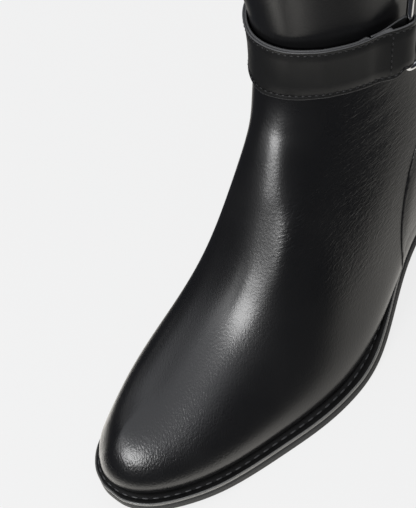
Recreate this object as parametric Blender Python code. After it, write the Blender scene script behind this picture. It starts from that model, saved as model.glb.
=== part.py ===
"""Left mid-calf boot with an inner zip and a buckled ankle strap, as separate solids.

Metres, +Z up, floor at z = 0. The toe points to -Y and the outer side of the foot is +X.
The origin is near the middle of the heel's footprint. "Along" runs from the back of the heel to the toe.
"""

import math
from collections import namedtuple

import bmesh
import bpy
import numpy as np
from mathutils import Vector
from mathutils.bvhtree import BVHTree

MM = 0.001

# Driving sizes of the last
LAST_LENGTH = 262 * MM
BALL_WIDTH = 86 * MM
HEEL_TO_ORIGIN = 31 * MM
BOOT_HEIGHT = 300 * MM
GAP = 0.3 * MM
FEATHER_GAP = 0.45 * MM

# Sole
OUTSOLE_THICK = 3.4 * MM
WELT_THICK = 2.6 * MM
FLAT_BACK = 0.575 * LAST_LENGTH
FLAT_FRONT = 0.737 * LAST_LENGTH
TOE_SPRING = 7.2 * MM
HEEL_BREAST = 60 * MM
SEAT_AT_BREAST = 25.3 * MM
SEAT_AT_BACK = 31.8 * MM
TOP_PIECE_THICK = 6 * MM
HEEL_INSET = 0.6 * MM
HEEL_TAPER = 3.0 * MM
BREAST_LEAN = 3.0 * MM
HEEL_STEPS = 15
SOLE_EDGE = 0.5 * MM
WELT_ROUND = 0.8 * MM
INSOLE_THICK = 4.6 * MM
INSOLE_INSET = 1.2 * MM
SOLE_STEPS = 34

# Upper
WALL = 2.2 * MM
THROAT_WALL = 0.12
LEVEL_ANGLES = (0, 7, 20, 35, 52, 71, 90)
OUTSIDE = 0.2
COUNTER_OFF = 0.62 * MM
COUNTER_THICK = 0.9 * MM
COUNTER_ROWS = 8
COUNTER_SPREAD = 1.7
COUNTER_TRY, COUNTER_CLEAR = 4.0 * MM, 0.8 * MM
COUNTER_STEPS = 48
COUNTER_FRONT = 97.5 * MM
COUNTER_BACK = 45 * MM
COUNTER_ROUND = 90 * MM

# Zip in the inner side of the shaft
ZIP_SLOT = 9.5 * MM
ZIP_LEVEL = 3
CHAIN_RECESS = 0.4 * MM
CHAIN_THICK = 1.5 * MM
CHAIN_GAP = 0.35 * MM
CHAIN_FOOT, CHAIN_HEAD = 0.85, 0.05
SLIDER_SHARE = 0.95
SLIDER_HALF = 4.0 * MM
SLIDER_LONG = 5.5 * MM
SLIDER_FACE = 2.3 * MM
ARCH_HALF = 0.9 * MM
ARCH_WALL = 0.9 * MM
PIVOT_UP = 1.1 * MM
PIVOT_OUT = 3.4 * MM
ARCH_HOLE = 1.5 * MM
TAB_THICK = 1.2 * MM
TAB_HALF = 2.8 * MM
TAB_LONG = 24 * MM
EYE_LONG = 3.8 * MM
EYE_PLAY = 0.35 * MM

# Ankle strap on a tilted ring round the shaft: angle 0 is in front, 90 on the outer side
STRAP_WIDTH = 28 * MM
STRAP_HEIGHT = 145 * MM
STRAP_TILT = 14 * MM
STRAP_LIFT = 5.5 * MM
LIFT_ANGLE, LIFT_SPREAD = 100, 30
STRAP_SKEW = 0.33
STRAP_ALONG, STRAP_ACROSS = 56 * MM, -2 * MM
STRAP_RADIUS = 48 * MM
STRAP_STAND = 2.6 * MM
STAND_ANGLE = 45
STRAP_LOW, STRAP_HIGH = 0.45 * MM, 2.6 * MM
STRAP_STEP = 4.5 * MM
LAYER = 1.1 * MM
LAYER_GAP = 0.2 * MM
FOLD_LENGTH = 18 * MM
FOLD_RISE = 14 * MM
FOLD_NARROW = 3.6 * MM
FOLD_BACK = 4 * MM
NARROW_LENGTH = 4.5 * MM
FRONT_START, FRONT_BAR = -78, 86.5
BACK_START, BACK_BAR = 259, 128.5

# Buckle frame
BAR_RADIUS = 1.8 * MM
BAR_OFFSET = 4.1 * MM
BAR_PLAY = 0.45 * MM
BAR_SIDES = 8
FRAME_LOW, FRAME_HIGH = -13.8 * MM, 27 * MM
FRAME_CORNER = 3 * MM

OutlinePoint = namedtuple("OutlinePoint", "along across")
VampSection = namedtuple(
    "VampSection", "feather ridge_along ridge_across ridge_height fullness bulge_outer bulge_inner"
)
RearSection = namedtuple("RearSection", "feather ankle_angle bulge_outer bulge_inner")
ShaftRing = namedtuple("ShaftRing", "front_height back_height centre half_depth half_width lean")
WeltReach = namedtuple("WeltReach", "along outer inner")
CounterTop = namedtuple("CounterTop", "path height")

# Feather edge of the last in plan: shares of the length and of the ball width
OUTLINE = [
    OutlinePoint(1.006, -0.077),
    OutlinePoint(0.988, 0.118),
    OutlinePoint(0.940, 0.239),
    OutlinePoint(0.865, 0.351),
    OutlinePoint(0.757, 0.432),
    OutlinePoint(0.630, 0.509),
    OutlinePoint(0.479, 0.461),
    OutlinePoint(0.345, 0.334),
    OutlinePoint(0.210, 0.284),
    OutlinePoint(0.095, 0.263),
    OutlinePoint(0.025, 0.162),
    OutlinePoint(0.000, 0.000),
    OutlinePoint(0.025, -0.182),
    OutlinePoint(0.095, -0.305),
    OutlinePoint(0.210, -0.332),
    OutlinePoint(0.345, -0.285),
    OutlinePoint(0.475, -0.290),
    OutlinePoint(0.610, -0.396),
    OutlinePoint(0.725, -0.476),
    OutlinePoint(0.820, -0.474),
    OutlinePoint(0.912, -0.399),
    OutlinePoint(0.978, -0.269),
]

# Sections over the foot, toe to throat. Feather is the share of the half outline from the toe tip.
# The ridge is in shares of the length and ball width, and its height is above the floor.
VAMP = [
    VampSection(0.000, 0.904, -0.047, 42.4 * MM, 2.19, 1.5 * MM, 0.0 * MM),
    VampSection(0.035, 0.884, -0.051, 42.6 * MM, 2.19, 1.6 * MM, 0.0 * MM),
    VampSection(0.075, 0.855, -0.058, 43.3 * MM, 2.19, 1.8 * MM, 0.0 * MM),
    VampSection(0.120, 0.824, -0.069, 45.7 * MM, 2.09, 2.0 * MM, 0.0 * MM),
    VampSection(0.170, 0.778, -0.079, 51.0 * MM, 1.99, 2.4 * MM, 0.0 * MM),
    VampSection(0.225, 0.714, -0.085, 59.3 * MM, 1.89, 2.8 * MM, 0.2 * MM),
    VampSection(0.285, 0.646, -0.085, 70.1 * MM, 1.79, 3.0 * MM, 0.6 * MM),
    VampSection(0.345, 0.590, -0.072, 85.4 * MM, 1.71, 3.2 * MM, 1.4 * MM),
    VampSection(0.405, 0.532, -0.059, 107.3 * MM, 1.65, 3.4 * MM, 2.4 * MM),
    VampSection(0.460, 0.435, -0.046, 135.0 * MM, 1.61, 3.6 * MM, 3.4 * MM),
]

# Sections behind the throat, to the back of the heel. The ankle angle is 0 in front.
ZIP_FRONT, ZIP_BACK = 4, 5
REAR = [
    RearSection(0.460, 0, 3.6 * MM, 6.0 * MM),
    RearSection(0.510, 20, 4.0 * MM, 6.2 * MM),
    RearSection(0.560, 42, 4.6 * MM, 6.2 * MM),
    RearSection(0.608, 64, 5.2 * MM, 6.0 * MM),
    RearSection(0.645, 84.5, 5.5 * MM, 5.6 * MM),
    RearSection(0.675, 95.5, 5.6 * MM, 5.2 * MM),
    RearSection(0.725, 114, 5.6 * MM, 4.4 * MM),
    RearSection(0.790, 132, 5.5 * MM, 4.2 * MM),
    RearSection(0.860, 148, 5.4 * MM, 4.8 * MM),
    RearSection(0.896, 156.5, 5.3 * MM, 5.3 * MM),
    RearSection(0.932, 164.5, 5.8 * MM, 5.8 * MM),
    RearSection(0.966, 172.5, 6.2 * MM, 6.2 * MM),
    RearSection(1.000, 180, 6.4 * MM, 6.4 * MM),
]

# Rings of the shaft from the ankle to the collar
SHAFT = [
    ShaftRing(139 * MM, 106 * MM, 60.1 * MM, 52.8 * MM, 35.5 * MM, -4 * MM),
    ShaftRing(153 * MM, 136 * MM, 56.2 * MM, 48.1 * MM, 34.5 * MM, -3 * MM),
    ShaftRing(177 * MM, 168 * MM, 53.7 * MM, 47.1 * MM, 35.5 * MM, -2 * MM),
    ShaftRing(205 * MM, 200 * MM, 50.8 * MM, 49.8 * MM, 39.5 * MM, -1 * MM),
    ShaftRing(236 * MM, 234 * MM, 48.9 * MM, 53.9 * MM, 44.0 * MM, 0 * MM),
    ShaftRing(268 * MM, 268 * MM, 47.0 * MM, 58.0 * MM, 48.0 * MM, 0 * MM),
    ShaftRing(BOOT_HEIGHT, BOOT_HEIGHT, 46.0 * MM, 60.5 * MM, 50.5 * MM, 0),
]

# How far the welt stands out from the feather edge
WELT_REACH = [
    WeltReach(0.00, 2.4 * MM, 3.0 * MM),
    WeltReach(0.25, 1.8 * MM, 3.0 * MM),
    WeltReach(0.32, 1.9 * MM, 3.0 * MM),
    WeltReach(0.38, 2.6 * MM, 3.1 * MM),
    WeltReach(0.45, 3.9 * MM, 3.2 * MM),
    WeltReach(0.48, 5.0 * MM, 3.2 * MM),
    WeltReach(0.51, 6.1 * MM, 3.2 * MM),
    WeltReach(0.55, 6.9 * MM, 3.3 * MM),
    WeltReach(0.65, 7.1 * MM, 3.4 * MM),
    WeltReach(0.78, 7.1 * MM, 3.3 * MM),
    WeltReach(0.85, 6.7 * MM, 2.8 * MM),
    WeltReach(0.94, 7.1 * MM, 2.2 * MM),
    WeltReach(0.985, 6.9 * MM, 3.4 * MM),
    WeltReach(1.002, 6.2 * MM, 4.1 * MM),
    WeltReach(1.0065, 4.6 * MM, 4.4 * MM),
]

# Top edge of the heel counter. The path runs from its outer front corner round the heel.
COUNTER_TOP = [
    CounterTop(0 * MM, 30 * MM),
    CounterTop(4 * MM, 44 * MM),
    CounterTop(10 * MM, 58 * MM),
    CounterTop(18 * MM, 73 * MM),
    CounterTop(28 * MM, 86 * MM),
    CounterTop(40 * MM, 95 * MM),
    CounterTop(54 * MM, 100 * MM),
    CounterTop(97 * MM, 103 * MM),
    CounterTop(138 * MM, 98 * MM),
    CounterTop(150 * MM, 95 * MM),
    CounterTop(156 * MM, 86 * MM),
    CounterTop(162 * MM, 74 * MM),
    CounterTop(168 * MM, 63 * MM),
    CounterTop(178 * MM, 50 * MM),
    CounterTop(188 * MM, 35 * MM),
    CounterTop(192 * MM, 28 * MM),
]


def clear_scene():
    for old in list(bpy.data.objects):
        bpy.data.objects.remove(old)


def make_material(name, colour, roughness, metallic=0.0):
    material = bpy.data.materials.new(name)
    material.use_nodes = True
    shader = material.node_tree.nodes["Principled BSDF"]
    shader.inputs["Base Color"].default_value = (*colour, 1.0)
    shader.inputs["Roughness"].default_value = roughness
    shader.inputs["Metallic"].default_value = metallic
    return material


def add_object(name, points, faces, material):
    """One closed mesh object, its doubles merged and its faces pointing out."""
    mesh = bpy.data.meshes.new(name)
    mesh.from_pydata([tuple(p) for p in points], [], faces)
    shape = bmesh.new()
    shape.from_mesh(mesh)
    bmesh.ops.remove_doubles(shape, verts=shape.verts, dist=0.01 * MM)
    bmesh.ops.recalc_face_normals(shape, faces=shape.faces)
    shape.to_mesh(mesh)
    shape.free()
    mesh.shade_smooth()
    mesh.set_sharp_from_angle(angle=math.radians(35))
    mesh.materials.append(material)
    made = bpy.data.objects.new(name, mesh)
    bpy.context.scene.collection.objects.link(made)
    return made


def closed_spline(points):
    """Smooth closed curve through points: the function takes values from 0 to len(points)."""
    points = np.array(points, float)
    count = len(points)
    rows = np.arange(count)
    matrix = np.zeros((count, count))
    matrix[rows, rows] = 4
    matrix[rows, (rows + 1) % count] = 1
    matrix[rows, (rows - 1) % count] = 1
    slopes = np.linalg.solve(matrix, 3 * (np.roll(points, -1, 0) - np.roll(points, 1, 0)))

    def at(t):
        t = np.asarray(t, float) % count
        i = np.floor(t).astype(int)
        u = (t - i)[..., None]
        j = (i + 1) % count
        start, end = points[i], points[j]
        rise = end - start
        return start + u * slopes[i] + u**2 * (3 * rise - 2 * slopes[i] - slopes[j]) + u**3 * (
            slopes[i] + slopes[j] - 2 * rise
        )

    return at


class HalfOutline:
    """One side of the feather edge in plan, from the toe tip to the back of the heel."""

    def __init__(self, curve, start, end, side):
        t = np.linspace(start, end, 1500)
        self.points = curve(t)
        steps = np.linalg.norm(np.diff(self.points, axis=0), axis=1)
        self.share = np.concatenate([[0], np.cumsum(steps)])
        self.share /= self.share[-1]
        heading = np.gradient(self.points, axis=0)
        heading /= np.linalg.norm(heading, axis=1)[:, None]
        self.normals = side * np.stack([heading[:, 1], -heading[:, 0]], 1)

    def at(self, share, reach=0.0):
        """(along, across) at that share of the half outline, moved out by reach."""
        point = [np.interp(share, self.share, self.points[:, k]) for k in (0, 1)]
        normal = [np.interp(share, self.share, self.normals[:, k]) for k in (0, 1)]
        size = math.hypot(*normal)
        return point[0] + normal[0] / size * reach, point[1] + normal[1] / size * reach


def make_halves():
    """The outer and inner half outlines, keyed by the sign of their side."""
    table = [(p.along * LAST_LENGTH, p.across * BALL_WIDTH) for p in OUTLINE]
    heel = min(range(len(table)), key=lambda k: table[k][0])
    curve = closed_spline(table)
    return {1: HalfOutline(curve, 0, heel, 1), -1: HalfOutline(curve, len(table), heel, -1)}


HALVES = make_halves()


def hermite(t, start, end, slope_start, slope_end):
    """Cubic from start to end over t = 0 to 1 with those end slopes."""
    return (
        (2 * t**3 - 3 * t**2 + 1) * start
        + (t**3 - 2 * t**2 + t) * slope_start
        + (3 * t**2 - 2 * t**3) * end
        + (t**3 - t**2) * slope_end
    )


def sole_bottom(along):
    """Height of the outsole's underside: heel seat, arch, flat ball and toe spring."""
    seat_slope = (SEAT_AT_BREAST - SEAT_AT_BACK) / HEEL_BREAST
    if along <= HEEL_BREAST:
        return SEAT_AT_BACK + seat_slope * along
    if along < FLAT_BACK:
        span = FLAT_BACK - HEEL_BREAST
        return hermite((along - HEEL_BREAST) / span, SEAT_AT_BREAST, 0, seat_slope * span, 0)
    if along <= FLAT_FRONT:
        return 0.0
    return TOE_SPRING * ((along - FLAT_FRONT) / (LAST_LENGTH - FLAT_FRONT)) ** 2


def welt_base(along):
    return sole_bottom(along) + OUTSOLE_THICK + GAP


def welt_top(along):
    return welt_base(along) + WELT_THICK


def feather_height(along):
    return welt_top(along) + FEATHER_GAP


def welt_reach(along, side):
    share = along / LAST_LENGTH
    reach = [r.outer if side > 0 else r.inner for r in WELT_REACH]
    return float(np.interp(share, [r.along for r in WELT_REACH], reach))


def place(along, across, height):
    """A point of the boot in the frame of the part."""
    return (across, HEEL_TO_ORIGIN - along, height)


def bump(share):
    """Swell of the wall over its height: 0 at both ends and 1 a quarter of the way up."""
    root = math.sqrt(share)
    return 4 * root * (1 - root)


def smooth_step(t):
    return t * t * (3 - 2 * t)


def meridian(side, feather, top, fullness, bulge, rear):
    """Points of the upper from the feather edge up to (along, across, height) at the top.

    Over the foot it is a superellipse arch; rear = 1 makes it a plain wall with the same swell.
    """
    half = HALVES[side]
    along, across = half.at(feather)
    out_along, out_across = half.at(feather, 1.0)
    base = feather_height(along)
    points = []
    for angle in LEVEL_ANGLES:
        turn = math.radians(angle)
        arch = (math.sin(turn) ** (2 / fullness), max(math.cos(turn), 0) ** (2 / fullness))
        rise = (1 - rear) * arch[0] + rear * angle / LEVEL_ANGLES[-1]
        spread = (1 - rear) * arch[1] + rear * (1 - smooth_step(rise))
        swell = bulge * bump(rise)
        points.append(
            place(
                top[0] + (along - top[0]) * spread + (out_along - along) * swell,
                top[1] + (across - top[1]) * spread + (out_across - across) * swell,
                base + (top[2] - base) * rise,
            )
        )
    return points


def ring_point(ring, angle, side):
    """(along, across, height) on a shaft ring at an angle from its front."""
    turn = math.radians(angle)
    ahead = (1 + math.cos(turn)) / 2
    return (
        ring.centre + ring.half_depth * math.cos(turn),
        side * ring.half_width * math.sin(turn) + ring.lean * ahead,
        ring.back_height + (ring.front_height - ring.back_height) * ahead,
    )


def ring_angle(ring, row):
    """The angle of a rear section on a ring: the two zip edges keep the slot's width."""
    half_slot = math.degrees(ZIP_SLOT / 2 / ring.half_depth)
    return {ZIP_FRONT: 90 - half_slot, ZIP_BACK: 90 + half_slot}.get(row, REAR[row].ankle_angle)


class Cage:
    """Control mesh of the upper's outer face: meridians of the foot, then rings of the shaft."""

    def __init__(self, zip_level=None):
        self.points, self.faces, self.keys = [], [], {}
        self.levels = len(LEVEL_ANGLES) - 1
        self.throat = len(VAMP) - 1
        self.last = self.throat + len(REAR) - 1
        self.zip_level = zip_level
        for side in (1, -1):
            self.add_vamp(side)
            self.add_rear(side)
            self.add_shaft(side)
        self.join_foot()
        self.join_shaft()

    def add(self, key, point):
        if key not in self.keys:
            self.keys[key] = len(self.points)
            self.points.append(point)

    def add_vamp(self, side):
        for i, row in enumerate(VAMP[:-1]):
            top = (row.ridge_along * LAST_LENGTH, row.ridge_across * BALL_WIDTH, row.ridge_height)
            bulge = row.bulge_outer if side > 0 else row.bulge_inner
            rear = THROAT_WALL * smooth_step(i / self.throat)
            line = meridian(side, row.feather, top, row.fullness, bulge, rear)
            for level, point in enumerate(line):
                self.add(self.key(side, i, level), point)

    def add_rear(self, side):
        for k, row in enumerate(REAR):
            bulge = row.bulge_outer if side > 0 else row.bulge_inner
            top = ring_point(SHAFT[0], ring_angle(SHAFT[0], k), side)
            rear = min(1.0, THROAT_WALL + k / ZIP_FRONT)
            line = meridian(side, row.feather, top, VAMP[-1].fullness, bulge, rear)
            for level, point in enumerate(line):
                self.add(self.key(side, self.throat + k, level), point)

    def add_shaft(self, side):
        for r, ring in enumerate(SHAFT[1:], 1):
            for k in range(len(REAR)):
                point = ring_point(ring, ring_angle(ring, k), side)
                self.add(self.key(side, self.throat + k, self.levels + r), place(*point))

    def key(self, side, station, level):
        """Stations on the middle plane are shared by both sides."""
        middle = station in (0, self.last) or (station <= self.throat and level >= self.levels)
        return (0 if middle else side, station, level)

    def in_slot(self, side, station, level):
        front = self.throat + ZIP_FRONT
        return self.zip_level is not None and side < 0 and station == front and level >= self.zip_level

    def quad(self, side, station, level):
        if self.in_slot(side, station, level):
            return
        corners = [(station, level), (station + 1, level), (station + 1, level + 1), (station, level + 1)]
        face = [self.keys[self.key(side, *c)] for c in corners]
        self.faces.append(face if side < 0 else face[::-1])

    def join_foot(self):
        for side in (1, -1):
            for station in range(self.last):
                top = self.levels if station else self.levels - 1
                for level in range(top):
                    self.quad(side, station, level)
        near = self.levels - 1
        front = [(1, 1, near), (0, 1, self.levels), (-1, 1, near), (0, 0, near)]
        self.faces.append([self.keys[k] for k in front])

    def join_shaft(self):
        for side in (1, -1):
            for station in range(self.throat, self.last):
                for level in range(self.levels, self.levels + len(SHAFT) - 1):
                    self.quad(side, station, level)


def make_upper(cage, material):
    upper = add_cage("upper", cage, material)
    wall = upper.modifiers.new("wall", "SOLIDIFY")
    wall.thickness = WALL
    wall.offset = -1
    wall.use_even_offset = True
    return upper


def add_cage(name, cage, material):
    mesh = bpy.data.meshes.new(name)
    used = sorted({v for f in cage.faces for v in f})
    index = {v: n for n, v in enumerate(used)}
    mesh.from_pydata([cage.points[v] for v in used], [], [[index[v] for v in f] for f in cage.faces])
    shape = bmesh.new()
    shape.from_mesh(mesh)
    bmesh.ops.recalc_face_normals(shape, faces=shape.faces)
    shape.to_mesh(mesh)
    shape.free()
    mesh.shade_smooth()
    mesh.materials.append(material)
    made = bpy.data.objects.new(name, mesh)
    bpy.context.scene.collection.objects.link(made)
    smooth = made.modifiers.new("smooth", "SUBSURF")
    smooth.levels = smooth.render_levels = 1
    smooth.boundary_smooth = "PRESERVE_CORNERS"
    return made


class Skin:
    """Outer face of the upper without its slot. Pieces that lie on the upper take their shape from it."""

    def __init__(self, material):
        plain = add_cage("skin", Cage(), material)
        self.tree = BVHTree.FromObject(plain, bpy.context.evaluated_depsgraph_get())
        bpy.data.objects.remove(plain)

    def meet(self, along, across, heading, height):
        """Where a level line from outside towards (along, across) meets the face, and its way out."""
        out = Vector((heading[1], -heading[0], 0))
        target = Vector(place(along, across, height))
        return self.tree.ray_cast(target + out * OUTSIDE, -out)[0], out


def lerp(start, end, share):
    return start + (end - start) * share


def sole_loop(height, inset, from_rim=True, steps=SOLE_STEPS):
    """Closed loop of a sole layer at height(along), inset from the welt's rim or from the feather edge."""
    loop = []
    for side, shares in ((1, range(steps)), (-1, range(steps, 0, -1))):
        for n in shares:
            share = 0.5 - 0.5 * math.cos(math.pi * n / steps)
            share = 0.5 * (share + n / steps)
            along = HALVES[side].at(share)[0]
            reach = welt_reach(along, side) if from_rim else 0.0
            along, across = HALVES[side].at(share, reach - inset)
            loop.append(place(along, across, height(along)))
    return loop


def tip_cap(count):
    """Strips across a loop that starts at the toe tip."""
    half = count // 2
    strips = [[n, n + 1, count - n - 1, count - n] for n in range(1, half - 1)]
    return [[0, 1, count - 1]] + strips + [[half - 1, half, half + 1]]


def band_cap(count):
    """Strips across a loop whose first and last points face each other."""
    strips = [[n, n + 1, count - 2 - n, count - 1 - n] for n in range(count // 2 - 1)]
    return strips + ([[count // 2 - 1, count // 2, count // 2 + 1]] if count % 2 else [])


def stacked(name, loops, material, cap=None):
    """Solid through loops of equal count. Without a cap it closes back on its first loop."""
    count = len(loops[0])
    points = [p for loop in loops for p in loop]
    last = len(loops) - 1
    pairs = [(n, n + 1) for n in range(last)]
    if cap is None:
        pairs.append((last, 0))
    faces = []
    for low, high in pairs:
        for n in range(count):
            after = (n + 1) % count
            faces.append([low * count + n, low * count + after, high * count + after, high * count + n])
    if cap:
        for start in (0, last * count):
            faces += [[start + v for v in f] for f in cap(count)]
    return add_object(name, points, faces, material)


def make_outsole(material):
    loops = [
        sole_loop(sole_bottom, 0),
        sole_loop(lambda a: sole_bottom(a) + SOLE_EDGE, -SOLE_EDGE),
        sole_loop(lambda a: sole_bottom(a) + OUTSOLE_THICK - SOLE_EDGE, 0),
        sole_loop(lambda a: sole_bottom(a) + OUTSOLE_THICK, SOLE_EDGE),
    ]
    return stacked("outsole", loops, material, tip_cap)


def make_welt(material):
    loops = [
        sole_loop(welt_base, WALL, from_rim=False),
        sole_loop(welt_base, WELT_ROUND),
        sole_loop(lambda a: welt_base(a) + WELT_ROUND, 0),
        sole_loop(lambda a: welt_top(a) - WELT_ROUND, 0),
        sole_loop(welt_top, WELT_ROUND),
        sole_loop(welt_top, WALL, from_rim=False),
    ]
    return stacked("welt", loops, material)


def make_insole(material):
    inset = WALL + INSOLE_INSET
    loops = [
        sole_loop(welt_base, inset, from_rim=False),
        sole_loop(lambda a: welt_base(a) + INSOLE_THICK, inset, from_rim=False),
    ]
    return stacked("insole", loops, material, tip_cap)


def heel_loop(height, inset, breast):
    """Loop of a heel layer from its outer breast corner round the back to the inner corner."""
    loop = []
    for side, order in ((1, range(HEEL_STEPS + 1)), (-1, range(HEEL_STEPS - 1, -1, -1))):
        half = HALVES[side]
        start = np.interp(-breast, -half.points[:, 0], half.share)
        for n in order:
            share = lerp(start, 1.0, n / HEEL_STEPS)
            reach = welt_reach(half.at(share)[0], side) - inset
            along, across = half.at(share, reach)
            loop.append(place(along, across, height(along)))
    return loop


def make_heel(block_material, piece_material):
    """The heel block under the seat, and the top piece it stands on."""
    tall = SEAT_AT_BREAST - TOP_PIECE_THICK
    low_share = tall / (tall + TOP_PIECE_THICK)
    block = []
    for share in (0, 0.5, 1):
        inset = HEEL_INSET + HEEL_TAPER * low_share * share
        breast = HEEL_BREAST - BREAST_LEAN * low_share * share
        foot = TOP_PIECE_THICK + GAP
        block.append(heel_loop(lambda a: lerp(sole_bottom(a) - GAP, foot, share), inset, breast))
    stacked("heel_block", block, block_material, band_cap)
    piece = []
    for height, more in ((TOP_PIECE_THICK, low_share), (SOLE_EDGE, 1), (0, 1 + SOLE_EDGE / HEEL_TAPER)):
        breast = HEEL_BREAST - BREAST_LEAN * more
        piece.append(heel_loop(lambda a: height, HEEL_INSET + HEEL_TAPER * more, breast))
    stacked("heel_top_piece", piece, piece_material, band_cap)


def counter_ray(path):
    """Aim and heading of the level line at a place on the counter's path."""
    flank = COUNTER_FRONT - COUNTER_BACK
    if path < flank:
        return COUNTER_FRONT - path, (0, 1)
    if path > flank + COUNTER_ROUND:
        return COUNTER_BACK + path - flank - COUNTER_ROUND, (0, -1)
    turn = math.pi * (path - flank) / COUNTER_ROUND
    return COUNTER_BACK, (-math.sin(turn), math.cos(turn))


def make_counter(skin, material):
    """Shell over the back of the upper, from the welt to the counter's top edge."""
    tops = [row.height for row in COUNTER_TOP]
    paths = [row.path for row in COUNTER_TOP]
    loops = []
    for path in np.linspace(paths[0], paths[-1], COUNTER_STEPS):
        aim, heading = counter_ray(path)
        top = float(np.interp(path, paths, tops))
        base = top
        for clear in (COUNTER_TRY, COUNTER_CLEAR):
            foot = skin.meet(aim, 0, heading, base)[0]
            base = feather_height(HEEL_TO_ORIGIN - foot.y) + clear
        inner, outer = [], []
        for n in range(COUNTER_ROWS + 1):
            point, out = skin.meet(aim, 0, heading, lerp(base, top, (n / COUNTER_ROWS) ** COUNTER_SPREAD))
            inner.append(point + out * COUNTER_OFF)
            outer.append(point + out * (COUNTER_OFF + COUNTER_THICK))
        loops.append(inner + outer[::-1])
    stacked("heel_counter", loops, material, band_cap)


def slot_edge(cage, row, other):
    """One edge of the zip slot from its foot to the collar, as the smoothed cage has it."""

    def column(section):
        keys = [cage.key(-1, cage.throat + section, n) for n in range(ZIP_LEVEL, cage.levels + len(SHAFT))]
        return [Vector(cage.points[cage.keys[k]]) for k in keys]

    line = column(row)
    before = [column(other)[0]] + line
    smoothed = []
    for n, point in enumerate(line[:-1]):
        smoothed.append(point * 0.75 + (before[n] + line[n + 1]) * 0.125)
        smoothed.append((point + line[n + 1]) * 0.5)
    return smoothed + [line[-1]]


class Slot:
    """The zip slot as rows of front and back points, with the way across, out and up at each."""

    def __init__(self, cage):
        self.front = slot_edge(cage, ZIP_FRONT, ZIP_BACK)
        self.back = slot_edge(cage, ZIP_BACK, ZIP_FRONT)
        self.rows = len(self.front) - 1

    def at(self, row):
        n = min(int(row), self.rows - 1)
        front = self.front[n].lerp(self.front[n + 1], row - n)
        back = self.back[n].lerp(self.back[n + 1], row - n)
        up = (self.front[n + 1] + self.back[n + 1] - self.front[n] - self.back[n]).normalized()
        across = (back - front).normalized()
        return front, back, across, up.cross(across).normalized(), up


def make_chain(slot, material):
    """Zip tape and teeth as one band inside the slot."""
    loops = []
    for row in [CHAIN_FOOT] + list(range(1, slot.rows)) + [slot.rows - CHAIN_HEAD]:
        front, back, across, out, up = slot.at(row)
        corners = []
        for depth, gap in ((CHAIN_RECESS, CHAIN_GAP), (CHAIN_RECESS + CHAIN_THICK, 2 * CHAIN_GAP)):
            corners += [front + across * gap - out * depth, back - across * gap - out * depth]
        loops.append([corners[k] for k in (0, 1, 3, 2)])
    stacked("zip_chain", loops, material, band_cap)


def make_blocks(name, spot, sides, rises, lifts, filled, material):
    """Solid of grid cells: spot places a grid corner and filled tells which cells are solid."""
    shape = [len(g) - 1 for g in (sides, rises, lifts)]
    corner = {}
    faces = []

    def index(cell):
        return corner.setdefault(cell, len(corner))

    def solid(cell):
        return all(0 <= c < n for c, n in zip(cell, shape)) and filled(*cell)

    for cell in np.ndindex(*shape):
        for axis in range(3):
            for step in (0, 1):
                beside = tuple(c + (2 * step - 1 if k == axis else 0) for k, c in enumerate(cell))
                if not solid(cell) or solid(beside):
                    continue
                square = []
                for first, second in ((0, 0), (1, 0), (1, 1), (0, 1)):
                    at = list(cell)
                    at[axis] += step
                    at[(axis + 1) % 3] += first
                    at[(axis + 2) % 3] += second
                    square.append(index(tuple(at)))
                faces.append(square)
    points = [spot(sides[i], rises[j], lifts[k]) for i, j, k in corner]
    return add_object(name, points, faces, material)


def make_slider(slot, material):
    """Slider at the top of the closed zip with an arch on its face, and the tab that turns in the arch."""
    front, back, across, out, up = slot.at(slot.rows * SLIDER_SHARE)
    middle = (front + back) / 2

    def spot(side, rise, lift):
        return middle + across * side + up * rise + out * lift

    def in_body(side, rise, lift):
        post = side == 1 and rise in (1, 3)
        bar = side == 1 and rise in (1, 2, 3)
        return lift == 0 or (post if lift == 1 else bar)

    sides = [-SLIDER_HALF, -ARCH_HALF, ARCH_HALF, SLIDER_HALF]
    hole_low, hole_high = PIVOT_UP - ARCH_HOLE, PIVOT_UP + ARCH_HOLE
    rises = [-SLIDER_LONG, hole_low - ARCH_WALL, hole_low, hole_high, hole_high + ARCH_WALL, SLIDER_LONG]
    arch = 2 * PIVOT_OUT - SLIDER_FACE
    lifts = [GAP - CHAIN_RECESS, SLIDER_FACE, arch, arch + ARCH_WALL]
    make_blocks("zip_slider", spot, sides, rises, lifts, in_body, material)

    eye = ARCH_HALF + EYE_PLAY
    half = TAB_THICK / 2
    sides = [-TAB_HALF, -eye, eye, TAB_HALF]
    rises = [PIVOT_UP - TAB_LONG, PIVOT_UP - EYE_LONG, PIVOT_UP - half, PIVOT_UP + half]
    lifts = [PIVOT_OUT - half, PIVOT_OUT + half]
    make_blocks("zip_pull_tab", spot, sides, rises, lifts, lambda s, r, t: (s, r) != (1, 1), material)


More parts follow.
